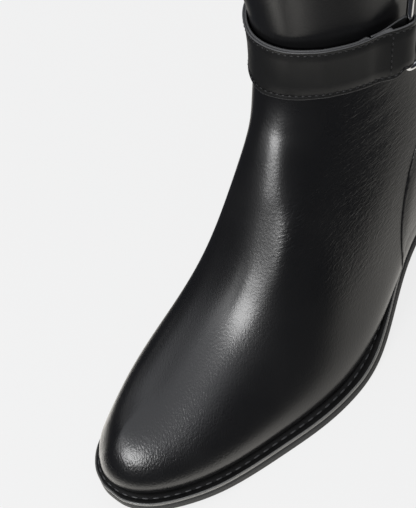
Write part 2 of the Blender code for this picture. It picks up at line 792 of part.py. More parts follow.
class StrapPath:
    """Places points by angle round the shaft, rise across the strap and offset from the upper."""

    def __init__(self, skin):
        self.skin = skin
        self.angles = np.arange(FRONT_START - 10, BACK_START + 10, 1.0)
        line = [self.at(angle, 0, 0) for angle in self.angles]
        steps = [(b - a).length for a, b in zip(line, line[1:])]
        self.lengths = np.concatenate([[0], np.cumsum(steps)])

    def way(self, angle, rise, offset):
        turn = math.radians(angle)
        lift = STRAP_LIFT * math.exp(-(((angle - LIFT_ANGLE) / LIFT_SPREAD) ** 2))
        height = STRAP_HEIGHT + STRAP_TILT * math.cos(turn) + lift + rise
        turn += STRAP_SKEW * rise / STRAP_RADIUS * math.sin(turn)
        heading = (math.cos(turn), math.sin(turn))
        point, out = self.skin.meet(STRAP_ALONG, STRAP_ACROSS, heading, height)
        share = rise / STRAP_WIDTH + 0.5
        near = max(0, math.cos(turn - math.radians(STAND_ANGLE)))
        stand = STRAP_STAND * near**2 * max(0, share)
        return point + out * (offset + stand), out

    def at(self, angle, rise, offset):
        return self.way(angle, rise, offset)[0]

    def length(self, angle):
        return float(np.interp(angle, self.angles, self.lengths))

    def angle(self, length):
        return float(np.interp(length, self.lengths, self.angles))


def strap_section(length):
    """Section along a strap whose bar is at length: pairs of (run, offset) on its two faces.

    It is full thickness up to the fold. Then one layer goes round the bar and back under itself.
    """
    fold = length - FOLD_LENGTH
    hole = BAR_RADIUS + BAR_PLAY
    rim = hole + LAYER
    pairs = [((run, STRAP_HIGH), (run, STRAP_LOW)) for run in np.linspace(0, fold, int(fold / STRAP_STEP))]
    thin = STRAP_HIGH - LAYER
    pairs.append(((fold + LAYER_GAP, STRAP_HIGH), (fold + LAYER_GAP, thin)))
    for share in np.linspace(0, 1, 6):
        run = length - FOLD_RISE * (1 - share)
        lift = (BAR_OFFSET + hole - thin) * smooth_step(share)
        pairs.append(((run, STRAP_HIGH + lift), (run, thin + lift)))
    for angle in np.linspace(60, -90, 6):
        turn = math.radians(angle)
        ahead, lift = math.cos(turn), math.sin(turn)
        pairs.append(tuple((length + r * ahead, BAR_OFFSET + r * lift) for r in (rim, hole)))
    for run in np.linspace(length - FOLD_BACK, fold + LAYER, 4):
        pairs.append(((run, STRAP_LOW), (run, thin - LAYER_GAP)))
    return pairs


def make_strap(name, path, start, bar, material):
    """One strap from its sewn end at the zip to the bar of the buckle it is folded round."""
    begin, end = path.length(start), path.length(bar)
    way = 1 if end > begin else -1
    length = abs(end - begin)
    loops = []
    for outer, inner in strap_section(length):
        ring = []
        for run, offset in (outer, inner):
            narrow = smooth_step(min(1, max(0, (run - length) / NARROW_LENGTH + 1.5)))
            low = -STRAP_WIDTH / 2 + FOLD_NARROW * narrow
            rises = [low, 0, STRAP_WIDTH / 2]
            angle = path.angle(begin + way * run)
            line = [path.at(angle, rise, offset) for rise in rises]
            ring += line if not ring else line[::-1]
        loops.append(ring)
    return stacked(name, loops, material, band_cap)


def make_frame(path, material):
    """Buckle frame: a round bar bent to a rectangle that follows the shaft."""
    begin, end = path.length(FRONT_BAR), path.length(BACK_BAR)
    corners = [(begin, FRAME_LOW), (end, FRAME_LOW), (end, FRAME_HIGH), (begin, FRAME_HIGH)]
    line = []
    for n, corner in enumerate(corners):
        before, after = corners[n - 1], corners[(n + 1) % 4]
        ways = []
        for other in (before, after):
            gap = math.dist(other, corner)
            ways.append([(o - c) / gap for o, c in zip(other, corner)])
        centre = [c + FRAME_CORNER * (a + b) for c, a, b in zip(corner, *ways)]
        for share in (0, 0.25, 0.5, 0.75, 1):
            turn = share * math.pi / 2
            line.append(
                tuple(
                    m - FRAME_CORNER * (math.cos(turn) * b + math.sin(turn) * a)
                    for m, a, b in zip(centre, *ways)
                )
            )
        leave = [c + FRAME_CORNER * w for c, w in zip(corner, ways[1])]
        reach = [c - FRAME_CORNER * w for c, w in zip(after, ways[1])]
        line += [tuple(lerp(a, b, share) for a, b in zip(leave, reach)) for share in (0.25, 0.5, 0.75)]
    spots = [path.way(path.angle(run), rise, BAR_OFFSET) for run, rise in line]
    rings = []
    for n, (point, out) in enumerate(spots):
        along = (spots[(n + 1) % len(spots)][0] - spots[n - 1][0]).normalized()
        side = along.cross(out).normalized()
        lift = side.cross(along)
        turns = [2 * math.pi * k / BAR_SIDES for k in range(BAR_SIDES)]
        rings.append([point + (side * math.cos(t) + lift * math.sin(t)) * BAR_RADIUS for t in turns])
    return stacked("buckle_frame", rings, material)


def make_all():
    clear_scene()
    leather = make_material("leather", (0.012, 0.012, 0.013), 0.35)
    strap = make_material("strap_leather", (0.014, 0.014, 0.015), 0.35)
    sole = make_material("sole", (0.02, 0.02, 0.02), 0.5)
    stack = make_material("heel_stack", (0.015, 0.015, 0.015), 0.45)
    lining = make_material("lining", (0.05, 0.045, 0.04), 0.8)
    tape = make_material("zip_tape", (0.01, 0.01, 0.01), 0.6)
    metal = make_material("metal", (0.75, 0.75, 0.77), 0.15, 1.0)
    cage = Cage(ZIP_LEVEL)
    skin = Skin(leather)
    slot = Slot(cage)
    path = StrapPath(skin)
    make_upper(cage, leather)
    make_outsole(sole)
    make_welt(sole)
    make_insole(lining)
    make_heel(stack, sole)
    make_counter(skin, leather)
    make_chain(slot, tape)
    make_slider(slot, metal)
    make_strap("strap_front", path, FRONT_START, FRONT_BAR, strap)
    make_strap("strap_back", path, BACK_START, BACK_BAR, strap)
    make_frame(path, metal)


make_all()
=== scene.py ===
import math

import bmesh
import bpy
import numpy as np
from mathutils import Matrix, Vector
from mathutils.bvhtree import BVHTree
from mathutils.kdtree import KDTree


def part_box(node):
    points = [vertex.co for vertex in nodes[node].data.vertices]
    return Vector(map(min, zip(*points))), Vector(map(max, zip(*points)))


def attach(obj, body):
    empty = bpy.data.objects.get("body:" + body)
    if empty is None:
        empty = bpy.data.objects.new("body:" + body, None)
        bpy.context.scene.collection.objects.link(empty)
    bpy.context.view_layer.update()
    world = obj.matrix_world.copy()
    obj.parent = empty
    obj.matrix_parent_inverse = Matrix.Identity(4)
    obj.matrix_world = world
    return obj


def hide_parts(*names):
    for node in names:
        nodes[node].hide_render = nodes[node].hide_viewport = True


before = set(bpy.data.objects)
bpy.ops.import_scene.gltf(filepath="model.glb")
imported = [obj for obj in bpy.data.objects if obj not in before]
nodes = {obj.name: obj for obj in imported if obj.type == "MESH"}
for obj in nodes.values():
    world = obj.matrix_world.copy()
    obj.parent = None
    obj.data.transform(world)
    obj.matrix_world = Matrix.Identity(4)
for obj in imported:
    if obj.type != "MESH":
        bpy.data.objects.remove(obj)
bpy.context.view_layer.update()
mm = 0.001
print("frame loaded:", len(nodes), "nodes")


# Shader maths: a wire is one socket's value, and operators between wires and numbers add Math nodes
class Wire:
    def __init__(self, tree, socket):
        self.tree = tree
        self.socket = socket

    def step(self, operation, *values):
        node = self.tree.nodes.new("ShaderNodeMath")
        node.operation = operation
        for socket, value in zip(node.inputs, values):
            plug(self.tree, socket, value)
        return Wire(self.tree, node.outputs[0])

    def __add__(self, other):
        return self.step("ADD", self, other)

    def __radd__(self, other):
        return self.step("ADD", other, self)

    def __sub__(self, other):
        return self.step("SUBTRACT", self, other)

    def __rsub__(self, other):
        return self.step("SUBTRACT", other, self)

    def __mul__(self, other):
        return self.step("MULTIPLY", self, other)

    def __rmul__(self, other):
        return self.step("MULTIPLY", other, self)


def plug(tree, socket, value):
    if isinstance(value, Wire):
        tree.links.new(value.socket, socket)
    else:
        socket.default_value = value


# Adds nodes to the tree of a material or of the world
class NodeMaker:
    def __init__(self, tree):
        self.tree = tree

    def add(self, kind, settings=None, inputs=None, out=0):
        node = self.tree.nodes.new(kind)
        for key, value in (settings or {}).items():
            setattr(node, key, value)
        for key, value in (inputs or {}).items():
            plug(self.tree, node.inputs[key], value)
        return Wire(self.tree, node.outputs[out])

    def fade(self, value, low, high):
        inputs = {"Value": value, "From Min": low, "From Max": high}
        return self.add("ShaderNodeMapRange", {"interpolation_type": "SMOOTHSTEP"}, inputs)

    def mix(self, mask, first, second):
        return self.add("ShaderNodeMix", {"data_type": "RGBA"}, {0: mask, 6: first, 7: second}, 2)

    def tint(self, mask, first, second):
        return self.mix(mask, (*first, 1), (*second, 1))


# A Principled material: plain values sit on its own sockets
class Finish(NodeMaker):
    def __init__(self, name, plain):
        self.material = bpy.data.materials.new(name)
        self.material.use_nodes = True
        super().__init__(self.material.node_tree)
        self.shader = self.tree.nodes["Principled BSDF"]
        self.place = self.add("ShaderNodeTexCoord", out="Object")
        self.feed(plain)

    def feed(self, values):
        for key, value in values.items():
            plug(self.tree, self.shader.inputs[key], value)

    def paint(self, mask, look):
        # colour from dark to light and roughness from low, both by the mask
        low, spread = look["roughness"]
        colour = self.tint(mask, look["dark"], look["light"])
        self.feed({"Base Color": colour, "Roughness": low + spread * mask})

    def noise(self, scale, detail=2.0, vector=None, twist=0.0):
        inputs = {"Vector": vector or self.place, "Scale": scale, "Detail": detail, "Distortion": twist}
        return self.add("ShaderNodeTexNoise", None, inputs, "Fac")

    def cells(self, scale, vector=None):
        inputs = {"Vector": vector or self.place, "Scale": scale}
        return self.add("ShaderNodeTexVoronoi", {"feature": "SMOOTH_F1"}, inputs, "Distance")

    def stretched(self, size, turn=(0, 0, 0)):
        # turned coordinates that grow by one in each size, in mm
        inputs = {"Vector": self.place, "Scale": [s * mm for s in size]}
        inputs["Rotation"] = [math.radians(a) for a in turn]
        return self.add("ShaderNodeMapping", {"vector_type": "TEXTURE"}, inputs)

    def awayFrom(self, spot):
        inputs = {0: self.place, 1: [c * mm for c in spot]}
        return self.add("ShaderNodeVectorMath", {"operation": "DISTANCE"}, inputs, "Value")

    def axis(self, name):
        return self.add("ShaderNodeSeparateXYZ", None, {"Vector": self.place}, name)

    def bump(self, height, strength, depth, under=None):
        inputs = {"Height": height, "Strength": strength, "Distance": depth}
        if under:
            inputs["Normal"] = under
        return self.add("ShaderNodeBump", None, inputs, "Normal")


# Finishes: each bump has a strength and a depth
upperFinish = {
    "dark": (0.0042, 0.0042, 0.0048),
    "light": (0.0078, 0.0078, 0.0080),
    "gloss": {"Specular IOR Level": 0.5, "Coat Weight": 0.10, "Coat Roughness": 0.2},
    "roughness": (0.24, 0.10),
    "cloudScale": 38,
    "pebbleScale": 850,
    "grainSize": (1.3, 0.65, 0.65),
    "grainTurn": (0, -47, 121),
    "grainNoise": 0.9,
    "grainShares": (0.5, 0.8),
    "grainToe": (-0.200, -0.165),
    "grainInstep": (0.055, 0.085),
    "grainLoss": (0.62, 0.24),
    "poreScale": 2600,
    "wrinkleSize": (3.8, 3.8, 1.15),
    "wrinkleTurn": (7, 0, 0),
    "wrinkleTwist": 0.9,
    "wrinkleSpot": (36, -66, 90),
    "wrinkleReach": (0.030, 0.075),
    "wrinkleSide": (0.013, 0.024),
    "wrinkleBump": (0.8, 0.31 * mm),
    "grainBump": (0.8, 0.17 * mm),
    "pebbleBump": (0.6, 0.04 * mm),
    "poreBump": (0.25, 0.06 * mm),
}


def makeUpperLeather():
    look = upperFinish
    finish = Finish("upper_leather", look["gloss"])
    finish.paint(finish.noise(look["cloudScale"], 3), look)
    lay = finish.stretched(look["grainSize"], look["grainTurn"])
    cells, cloud = look["grainShares"]
    grain = finish.cells(1.0, lay) * cells + finish.noise(look["grainNoise"], 3, lay) * cloud
    lines = finish.stretched(look["wrinkleSize"], look["wrinkleTurn"])
    wrinkle = finish.noise(1.0, 2, lines, look["wrinkleTwist"])
    near = 1 - finish.fade(finish.awayFrom(look["wrinkleSpot"]), *look["wrinkleReach"])
    near = near * finish.fade(finish.axis("X"), *look["wrinkleSide"])
    behindToe, onInstep = look["grainLoss"]
    kept = 1 - behindToe * finish.fade(finish.axis("Y"), *look["grainToe"])
    kept = kept - onInstep * finish.fade(finish.axis("Z"), *look["grainInstep"])
    pebble = finish.cells(look["pebbleScale"]) + finish.noise(look["pebbleScale"], 2)
    normal = finish.bump(wrinkle * near, *look["wrinkleBump"])
    normal = finish.bump(grain * kept, *look["grainBump"], normal)
    normal = finish.bump(pebble, *look["pebbleBump"], normal)
    normal = finish.bump(finish.noise(look["poreScale"], 1), *look["poreBump"], normal)
    finish.feed({"Normal": normal})
    return finish


strapFinish = {
    "dark": (0.007, 0.007, 0.0072),
    "light": (0.012, 0.012, 0.0118),
    "gloss": {"Specular IOR Level": 0.25, "Coat Weight": 0.04, "Coat Roughness": 0.3},
    "roughness": (0.36, 0.1),
    "cloudScale": 60,
    "cellScale": 1500,
    "noiseScale": 900,
    "noiseShare": 0.5,
    "bump": (0.16, 0.12 * mm),
}


def makeStrapLeather():
    look = strapFinish
    finish = Finish("strap_leather", look["gloss"])
    finish.paint(finish.noise(look["cloudScale"], 3), look)
    grain = finish.cells(look["cellScale"]) + finish.noise(look["noiseScale"], 3) * look["noiseShare"]
    finish.feed({"Normal": finish.bump(grain, *look["bump"])})
    return finish


# Plain leathers, each with dark and light colour, roughness, grain scale and grain depth
plainFinishes = {
    # cut edges are light grey: partly edge paint, partly a painted highlight for light falling on the edges
    # from above
    "edge_paint_and_highlight": ((0.055, 0.055, 0.056), (0.105, 0.105, 0.107), 0.40, 1400, 0.06 * mm),
    "lining": ((0.014, 0.0135, 0.013), (0.024, 0.023, 0.022), 0.62, 1300, 0.12 * mm),
    "sock": ((0.015, 0.014, 0.013), (0.026, 0.025, 0.023), 0.58, 1100, 0.12 * mm),
    "welt_leather": ((0.004, 0.004, 0.004), (0.009, 0.009, 0.009), 0.40, 1600, 0.08 * mm),
    # the bead is coloured lighter than the welt leather: a painted highlight along the welt's rounded rim
    "welt_bead_painted_highlight": ((0.075, 0.075, 0.072), (0.125, 0.125, 0.120), 0.26, 1200, 0.03 * mm),
    "heel_finish": ((0.009, 0.009, 0.009), (0.016, 0.016, 0.016), 0.34, 700, 0.06 * mm),
    # the needle hole is a flat near-black disc: painted shade standing in for the dark inside the hole
    "needle_hole_painted_shade": ((0.0015, 0.0015, 0.0015), (0.003, 0.003, 0.003), 0.85, 2000, 0.02 * mm),
}
plainGrain = {"specular": 0.45, "cloudScale": 90, "spread": 0.12, "coarse": (0.25, 0.5), "strength": 0.25}


def makePlainLeather(name):
    look = plainGrain
    dark, light, roughness, scale, depth = plainFinishes[name]
    finish = Finish(name, {"Specular IOR Level": look["specular"]})
    colours = {"dark": dark, "light": light, "roughness": (roughness, look["spread"])}
    finish.paint(finish.noise(look["cloudScale"], 3), colours)
    coarse, share = look["coarse"]
    grain = finish.noise(scale, 4) + finish.noise(scale * coarse, 2) * share
    finish.feed({"Normal": finish.bump(grain, look["strength"], depth)})
    return finish


rubberFinish = {
    "dark": (0.020, 0.020, 0.020),
    "light": (0.034, 0.034, 0.033),
    "specular": 0.4,
    "roughness": (0.52, 0.12),
    "cloudScale": 140,
    "grainScale": 1800,
    "bump": (0.22, 0.08 * mm),
}


def makeSoleRubber():
    look = rubberFinish
    finish = Finish("sole_rubber", {"Specular IOR Level": look["specular"]})
    finish.paint(finish.noise(look["cloudScale"], 4), look)
    finish.feed({"Normal": finish.bump(finish.noise(look["grainScale"], 3), *look["bump"])})
    return finish


# Woven and twisted finishes, with the size of one fibre in mm
threadFinish = {
    "specular": 0.5,
    "fibre": (0.25, 0.25, 0.25),
    "roughness": (0.42, 0.15),
    "bump": (0.4, 0.06 * mm),
}
tapeFinish = {
    "specular": 0.3,
    "fibre": (1.1, 1.1, 0.28),
    "roughness": (0.75, 0.1),
    "bump": (0.5, 0.15 * mm),
}


def makeFibre(name, look, dark, light, detail):
    finish = Finish(name, {"Specular IOR Level": look["specular"]})
    fibre = finish.noise(1.0, detail, finish.stretched(look["fibre"]))
    finish.paint(fibre, {"dark": dark, "light": light, "roughness": look["roughness"]})
    finish.feed({"Normal": finish.bump(fibre, *look["bump"])})
    return finish


metalFinish = {"smearScale": 220, "smear": 0.08, "grainScale": 2400, "bump": (0.03, 0.02 * mm)}


def makeMetal(name, colour, roughness):
    look = metalFinish
    finish = Finish(name, {"Metallic": 1.0, "Base Color": (*colour, 1)})
    finish.feed({"Roughness": roughness + look["smear"] * finish.noise(look["smearScale"], 4)})
    finish.feed({"Normal": finish.bump(finish.noise(look["grainScale"], 2), *look["bump"])})
    return finish


upperLeather = makeUpperLeather()
strapLeather = makeStrapLeather()
edgePaintAndHighlight = makePlainLeather("edge_paint_and_highlight")
liningLeather = makePlainLeather("lining")
sockLeather = makePlainLeather("sock")
weltLeather = makePlainLeather("welt_leather")
weltLeather.feed({"Specular IOR Level": 0.12})
weltBeadPaintedHighlight = makePlainLeather("welt_bead_painted_highlight")
weltBeadPaintedHighlight.feed({"Coat Weight": 0.7, "Coat Roughness": 0.12})
heelFinish = makePlainLeather("heel_finish")
soleRubber = makeSoleRubber()
thread = makeFibre("thread", threadFinish, (0.007, 0.007, 0.0075), (0.022, 0.022, 0.023), 2)
weltThread = makeFibre("welt_thread", threadFinish, (0.016, 0.016, 0.017), (0.045, 0.045, 0.047), 2)
needleHolePaintedShade = makePlainLeather("needle_hole_painted_shade")
zipTape = makeFibre("zip_tape", tapeFinish, (0.006, 0.006, 0.0062), (0.016, 0.016, 0.0165), 1)
toothMetal = makeMetal("zip_teeth", (0.10, 0.10, 0.105), 0.32)
zipMetal = makeMetal("zip_metal", (0.42, 0.42, 0.43), 0.2)
chrome = makeMetal("buckle_chrome", (0.82, 0.82, 0.83), 0.06)
print("finishes made")


# Mesh tools
meshTools = {
    "merge": 0.02 * mm,
    "close": 0.002 * mm,
    "faceAngle": 60,
    "shapeAngles": (60, 180),
    "gridPull": 2.0,
    "runSteps": 12,
}


def cadCopy(node):
    bm = bmesh.new()
    bm.from_mesh(nodes[node].data)
    bmesh.ops.remove_doubles(bm, verts=bm.verts, dist=meshTools["merge"])
    for shape in meshTools["shapeAngles"]:
        bmesh.ops.join_triangles(
            bm,
            faces=bm.faces,
            angle_face_threshold=math.radians(meshTools["faceAngle"]),
            angle_shape_threshold=math.radians(shape),
            topology_influence=meshTools["gridPull"],
        )
    return bm


def toMesh(bm, name):
    mesh = bpy.data.meshes.new(name)
    bm.to_mesh(mesh)
    bm.free()
    return mesh


def addObject(name, data):
    thing = bpy.data.objects.new(name, data)
    bpy.context.scene.collection.objects.link(thing)
    return thing


def nearestTo(points):
    finder = KDTree(len(points))
    for n, point in enumerate(points):
        finder.insert(point, n)
    finder.balance()
    return finder


def subdivided(bm, levels, angle=None, crease=1.0):
    if angle:
        layer = bm.edges.layers.float.new("crease_edge")
        for edge in bm.edges:
            if len(edge.link_faces) == 2 and edge.calc_face_angle() > math.radians(angle):
                edge[layer] = crease
    mesh = toMesh(bm, "work")
    work = addObject("work", mesh)
    smooth = work.modifiers.new("smooth", "SUBSURF")
    smooth.levels = smooth.render_levels = levels
    smooth.boundary_smooth = "PRESERVE_CORNERS"
    done = bpy.data.meshes.new_from_object(work.evaluated_get(bpy.context.evaluated_depsgraph_get()))
    bpy.data.objects.remove(work)
    finer = bmesh.new()
    finer.from_mesh(done)
    bpy.data.meshes.remove(mesh)
    bpy.data.meshes.remove(done)
    return finer


def makePiece(name, bm, finishes, stands=(), body="boot", sharp=None):
    mesh = toMesh(bm, name)
    mesh.shade_smooth()
    if sharp:
        mesh.set_sharp_from_angle(angle=math.radians(sharp))
    for finish in finishes:
        mesh.materials.append(finish.material)
    piece = addObject(name, mesh)
    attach(piece, body)
    if stands:
        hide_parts(*stands)
    print("made", name, len(mesh.polygons), "faces")


def gridSheet(points, parts=None, shares=None):
    # vertex (i, j) of a grid goes to points[i, j], with a material per column and a share per vertex
    rows, columns = points.shape[0] - 1, points.shape[1] - 1
    bm = bmesh.new()
    if shares is not None:
        layer = bm.verts.layers.float.new("share")
    bmesh.ops.create_grid(bm, x_segments=rows, y_segments=columns, size=1)
    for face in bm.faces if parts else []:
        face.material_index = parts[int((face.calc_center_median().y + 1) / 2 * columns)]
    for vert in bm.verts:
        i = round((vert.co.x + 1) / 2 * rows)
        j = round((vert.co.y + 1) / 2 * columns)
        vert.co = points[i, j]
        if shares is not None:
            vert[layer] = shares[i, j]
    return bm


def closeUp(bm):
    # join the sheet's matching borders, fill its ends and turn its faces out
    bmesh.ops.remove_doubles(bm, verts=bm.verts, dist=meshTools["close"])
    bmesh.ops.holes_fill(bm, edges=bm.edges, sides=0)
    bmesh.ops.recalc_face_normals(bm, faces=bm.faces)
    return bm


def straightLine(vert, edge):
    # vertices straight on through a grid of quads, until it closes or ends
    line = [vert]
    while True:
        vert = edge.other_vert(vert)
        line.append(vert)
        faces = set(edge.link_faces)
        ahead = [e for e in vert.link_edges if not faces & set(e.link_faces)]
        if len(vert.link_edges) != 4 or not ahead or ahead[0].other_vert(vert) == line[0]:
            return line
        edge = ahead[0]


def longestLine(vert):
    return max((straightLine(vert, edge) for edge in vert.link_edges), key=len)


def curveAt(points, where, closed=False):
    # smooth curve through points, read at fractional indices
    points = np.asarray(points, float)
    count = len(points)
    last = count if closed else count - 1
    index = np.clip(np.floor(where).astype(int), 0, last - 1)
    share = (np.asarray(where) - index)[:, None]
    steps = np.roll(points, -1, axis=0) - points
    spans = np.linalg.norm(steps, axis=1, keepdims=True) + 1e-9
    ways, behind = steps / spans, np.roll(spans, 1, axis=0)
    slopes = (spans * np.roll(ways, 1, axis=0) + behind * ways) / (spans + behind)
    if not closed:
        slopes[0], slopes[-1] = ways[0], ways[-2]
    after = (index + 1) % count
    start, end = points[index], points[after]
    first, second = slopes[index] * spans[index], slopes[after] * spans[index]
    return (
        start
        + share * first
        + share**2 * (3 * (end - start) - 2 * first - second)
        + share**3 * (2 * (start - end) + first + second)
    )


def runAlong(points):
    # distance of each point along their line
    steps = np.linalg.norm(np.diff(points, axis=0), axis=1)
    return np.concatenate([[0], np.cumsum(steps)])


def evenPlaces(points, spacing, closed=False):
    # fractional indices along the curve, about that far apart
    last = len(points) if closed else len(points) - 1
    where = np.linspace(0, last, last * meshTools["runSteps"] + 1)
    run = runAlong(curveAt(points, where, closed))
    count = max(2, round(run[-1] / spacing))
    return np.interp(np.linspace(0, run[-1], count + 1), run, where)


def unit(vectors):
    return vectors / np.linalg.norm(vectors, axis=-1, keepdims=True)


# A pill's height is a share of its width, and a needle hole's disc of painted shade has a size that is a
# share of the gap and the width
stitchMesh = {"sides": 8, "rings": 6, "tall": 0.42, "holeSides": 10, "holeLong": 0.75, "holeWide": 0.6}
fineStitch = {"pitch": 2.9 * mm, "long": 2.2 * mm, "wide": 0.6 * mm, "lift": 0.04 * mm, "holeLift": 0.0}


def addStitches(bm, line, ups, look):
    # one thread pill for each pitch along the line, with a dark disc between pills: painted shade for the
    # needle hole
    line, ups = np.asarray(line), np.asarray(ups)
    run = runAlong(line)
    count = max(1, int(run[-1] / look["pitch"]))
    long, wide = look["long"], look["wide"]
    gap = run[-1] / count - long

    def valueAt(values, place):
        return Vector([np.interp(place, run, values[:, k]) for k in range(3)])

    for n in range(count):
        middle = (n + 0.5) * run[-1] / count
        start, end = (valueAt(line, middle + half * long) for half in (-0.5, 0.5))
        up = valueAt(ups, middle).normalized()
        along = (end - start).normalized()
        side = up.cross(along).normalized()
        up = along.cross(side)
        centre = (start + end) / 2 + up * look["lift"]
        turn = Matrix([along, side, up]).transposed().to_4x4()
        pill = Matrix.Diagonal((long / 2, wide / 2, wide * stitchMesh["tall"], 1))
        bmesh.ops.create_uvsphere(
            bm,
            u_segments=stitchMesh["sides"],
            v_segments=stitchMesh["rings"],
            radius=1,
            matrix=Matrix.Translation(centre) @ turn @ pill,
        )
        hole = Matrix.Translation(centre + along * (long + gap) / 2 + up * look["holeLift"]) @ turn
        hole = hole @ Matrix.Diagonal((gap * stitchMesh["holeLong"], wide * stitchMesh["holeWide"], 1, 1))
        sides = stitchMesh["holeSides"]
        disc = bmesh.ops.create_circle(bm, cap_ends=True, segments=sides, radius=1, matrix=hole)["verts"]
        # the disc takes the near-black finish: painted shade for the needle hole
        disc[0].link_faces[0].material_index = 1


def bevelEdges(bm, edges, size, segments=1):
    bmesh.ops.bevel(
        bm,
        geom=edges,
        offset=size,
        segments=segments,
        profile=0.5,
        affect="EDGES",
        material=-1,
        clamp_overlap=True,
    )


def blockMesh(size, bevel):
    bm = bmesh.new()
    bmesh.ops.create_cube(bm, size=1, matrix=Matrix.Diagonal((*size, 1)))
    bevelEdges(bm, bm.edges, bevel)
    return toMesh(bm, "block")


def addBlock(bm, block, place):
    before = len(bm.verts)
    bm.from_mesh(block)
    bm.verts.ensure_lookup_table()
    bmesh.ops.transform(bm, matrix=place, verts=bm.verts[before:])


# Lines of the welt, which the upper and the sole's edge follow
def orderedWelt():
    # low and high lines inside, beside the rim and at the rim, each from the toe and the same way round
    bm = cadCopy("welt")
    tip = min(bm.verts, key=lambda v: v.co.y)
    section = min((straightLine(tip, edge) for edge in tip.link_edges), key=len)
    lined = []
    for vert in section:
        loop = np.array([v.co for v in longestLine(vert)])
        loop = np.roll(loop, -int(np.argmin(loop[:, 1])), axis=0)
        if loop[len(loop) // 4, 0] < loop[-len(loop) // 4, 0]:
            loop = np.roll(loop[::-1], 1, axis=0)
        lined.append(loop)
    bm.free()
    order = np.argsort([np.ptp(loop[:, 0]) for loop in lined])
    pairs = []
    for n in (0, 2, 4):
        pair = (lined[order[n]], lined[order[n + 1]])
        pairs.append(sorted(pair, key=lambda p: p[:, 2].mean()))
    return {"inside": pairs[0], "beside": pairs[1], "rim": pairs[2]}


weltLines = orderedWelt()


# Upper: the wall of the boot, smoothed, with a full lower wall and soft folds at the ankle
upperLook = {
    "levels": 2,
    "rimAngle": 50,
    "rimCrease": 0.75,
    "swellSpacing": 1.5 * mm,
    "swellAlong": (-240, -225, -200, -160, -125, -95, -65, -35, -15),
    "swellOuter": (2.7, 2.6, 2.3, 2.1, 2.4, 2.2, 2.4, 1.4, 0.0),
    "swellInner": (2.4, 1.1, 0.4, 0.3, 0.3, 0.2, 0.1, 0.0, 0.0),
    "swellPeak": (9.0, 9.0, 8.0, 6.5, 6.0, 6.0, 6.0, 6.0, 6.0),
    "swellFoot": 0.58,
    "swellAbove": 17.0,
    "slimAlong": (-238, -228, -215, -190, -165, -140),
    "slimInner": (0.3, 1.5, 1.9, 1.3, 0.8, 0.0),
    "slimRise": (18.0, 10.0),
    "highest": 48.0,
    "level": 0.01,
    "foldEase": (0.02, 0.7),
    "foldRidge": (0.6, 2.2),
    "foldValley": 1.2,
    # start, end, depth and width of each fold
    "folds": [
        ((18, -71, 123), (34, -38, 128), 0.30, 2.4),
        ((22, -69, 114), (34, -40, 118), 0.26, 2.2),
        ((26, -72, 103), (34, -46, 105), 0.24, 2.4),
        ((28, -88, 88), (34, -60, 84), 0.20, 2.6),
        ((8.4, -126, 82), (7.2, -148, 63.5), 0.24, 1.5),
        ((19, -98, 100), (23, -128, 68), -1.4, 7.0),
        ((-17, -75, 124), (-32, -44, 128), 0.28, 2.6),
        ((-22, -74, 112), (-33, -50, 114), 0.24, 2.6),
        ((-10, -84, 126), (14, -83, 126), 0.40, 5.0),
        ((-20, 10, 118), (20, 10, 120), 0.35, 5.0),
        ((-16, 12, 134), (22, 11, 132), 0.30, 6.0),
    ],
}


def spreadFrom(face, limit):
    # faces reached from this one without crossing a sharp edge
    found, waiting = {face}, [face]
    while waiting:
        for edge in waiting.pop().edges:
            if len(edge.link_faces) == 2 and edge.calc_face_angle() < limit:
                for other in edge.link_faces:
                    if other not in found:
                        found.add(other)
                        waiting.append(other)
    return found


def markUpper(bm):
    # material 0 is the outer leather, 1 the lining, 2 the cut rims
    limit = math.radians(upperLook["rimAngle"])
    outer = spreadFrom(max(bm.faces, key=lambda f: f.calc_center_median().x), limit)
    rest = [f for f in bm.faces if f not in outer]
    inner = set()
    for face in rest:
        if face not in inner:
            region = spreadFrom(face, limit)
            inner = max(inner, region, key=len)
    for face in bm.faces:
        face.material_index = 0 if face in outer else 1 if face in inner else 2


def swellUpper(bm):
    # the lower wall bulges out over the welt, and the inner side of the toe is drawn in
    look = upperLook
    line = weltLines["inside"][1]
    line = curveAt(line, evenPlaces(line, look["swellSpacing"], True), True)
    finder = nearestTo([(x, y, 0) for x, y, z in line])
    for vert in bm.verts:
        if not any(f.material_index == 0 for f in vert.link_faces):
            continue
        foot = line[finder.find((vert.co.x, vert.co.y, 0))[1]]
        rise = (vert.co.z - foot[2]) / mm
        out = Vector((vert.normal.x, vert.normal.y, 0))
        if rise > look["highest"] or out.length < look["level"]:
            continue
        out.normalize()
        outer = min(1, max(0, 0.5 + out.x))
        along = foot[1] / mm
        swells = ("swellInner", "swellOuter", "swellPeak")
        least, most, peak = (float(np.interp(along, look["swellAlong"], look[key])) for key in swells)
        amount = least + (most - least) * outer
        if rise > peak:
            share = math.exp(-(((rise - peak) / look["swellAbove"]) ** 2))
        else:
            held = look["swellFoot"]
            share = held + (1 - held) * math.sin(max(rise, 0) / peak * math.pi / 2)
        height, spread = look["slimRise"]
        slim = float(np.interp(along, look["slimAlong"], look["slimInner"])) * (1 - outer)
        slim *= math.exp(-(((rise - height) / spread) ** 2))
        vert.co += out * (amount * share - slim) * mm


def foldUpper(bm):
    skin = [v for v in bm.verts if any(f.material_index == 0 for f in v.link_faces)]
    spots = np.array([v.co for v in skin]) / mm
    normals = np.array([v.normal for v in skin])
    lift = np.zeros(len(skin))
    margin, power = upperLook["foldEase"]
    ridge, spread = upperLook["foldRidge"]
    valley = upperLook["foldValley"]
    for start, end, depth, wide in upperLook["folds"]:
        start = np.array(start, float)
        way = np.array(end, float) - start
        share = np.clip((spots - start) @ way / (way @ way), 0, 1)
        gap = np.linalg.norm(spots - start - share[:, None] * way, axis=1)
        ease = np.sin(np.pi * np.clip(share, margin, 1 - margin)) ** power
        beside = ridge * np.exp(-((gap / (spread * wide)) ** 2))
        lift += depth * ease * (beside - valley * np.exp(-((gap / wide) ** 2)))
    for vert, normal, amount in zip(skin, normals, lift):
        vert.co += Vector(normal * amount * mm)


